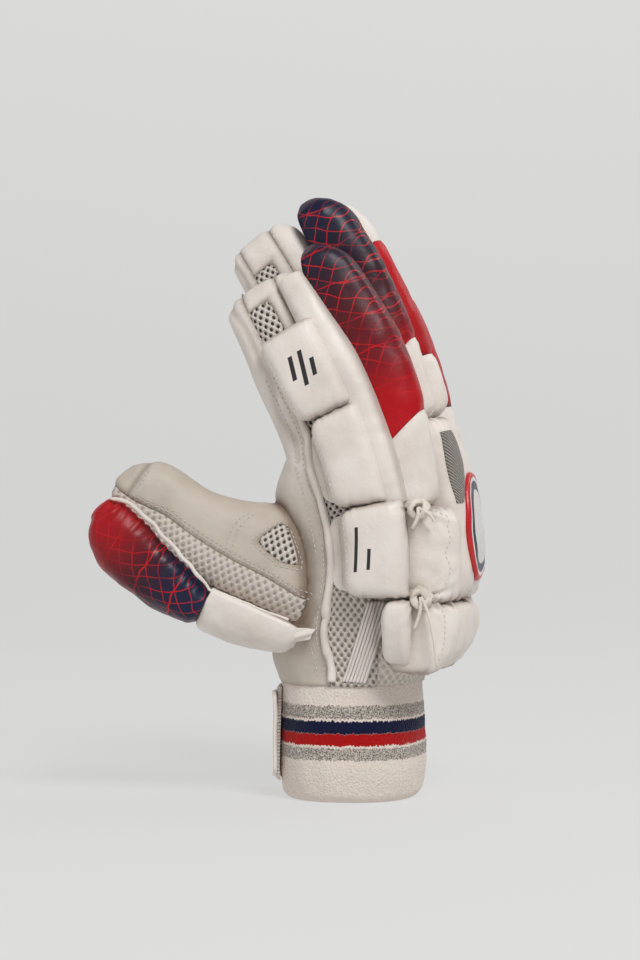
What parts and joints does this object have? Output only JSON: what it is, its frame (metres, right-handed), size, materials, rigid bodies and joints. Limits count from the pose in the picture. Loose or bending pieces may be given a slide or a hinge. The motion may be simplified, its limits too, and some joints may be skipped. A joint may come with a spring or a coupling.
{
  "type": "cricket batting glove",
  "caption": "Right-hand cricket batting glove: padded finger rolls and side bar, ventilated leather hand, padded thumb, knitted wrist cuff with strap.",
  "frame": {"origin": "centre of the glove's box, on the surface that the cuff stands on", "axes": "+Z from the cuff to the fingertips, +X to the back of the hand, -Y to the index finger's side"},
  "size_m": [0.1776, 0.1144, 0.283],
  "materials": {
    "leather_white": "soft, slightly glossy, fine grain",
    "leather_printed": "glossy, printed in navy and red",
    "mesh": "perforated mesh",
    "cuff_knit": "knitted towelling with stripes",
    "strap_tape": "hook-and-loop tape",
    "ribbed_tape": "ribbed webbing",
    "trim_grey": "hatched weave",
    "badge_rubber": "moulded, satin"
  },
  "bodies": {
    "root": {"wrist_cuff": "cuff_knit", "wrist_strap": "strap_tape", "strap_tab": "leather_white", "palm_leather": "leather_white", "index_gusset": "mesh", "middle_gusset": "mesh", "ring_gusset": "mesh", "little_gusset": "mesh", "back_leather": "leather_white", "wrist_mesh": "mesh", "thumb_leather": "leather_white", "thumb_mesh": "mesh", "thumb_back": "leather_white", "thumb_vent": "mesh", "thumb_guard": "leather_white", "thumb_cap": "leather_printed", "index_roll_knuckle": "leather_white", "index_roll_printed": "leather_printed", "middle_roll_knuckle": "leather_white", "middle_roll_printed": "leather_printed", "ring_roll_knuckle": "leather_white", "ring_roll_printed": "leather_printed", "ring_roll_tip": "leather_white", "little_roll_knuckle": "leather_white", "little_roll_printed": "leather_printed", "little_roll_tip": "leather_white", "index_pad_upper": "leather_white", "index_pad_lower": "leather_white", "centre_pad_upper": "leather_white", "centre_pad_lower": "leather_white", "little_pad_upper": "leather_white", "little_pad_lower": "leather_white", "index_side_pad_1": "leather_white", "index_side_pad_2": "leather_white", "index_side_pad_3": "leather_white", "index_side_end": "leather_white", "back_badge": "badge_rubber", "back_trim": "trim_grey", "palm_piping": "leather_white", "side_tape": "ribbed_tape", "tie_upper": "leather_white", "tie_lower": "leather_white"}
  },
  "joints": []
}
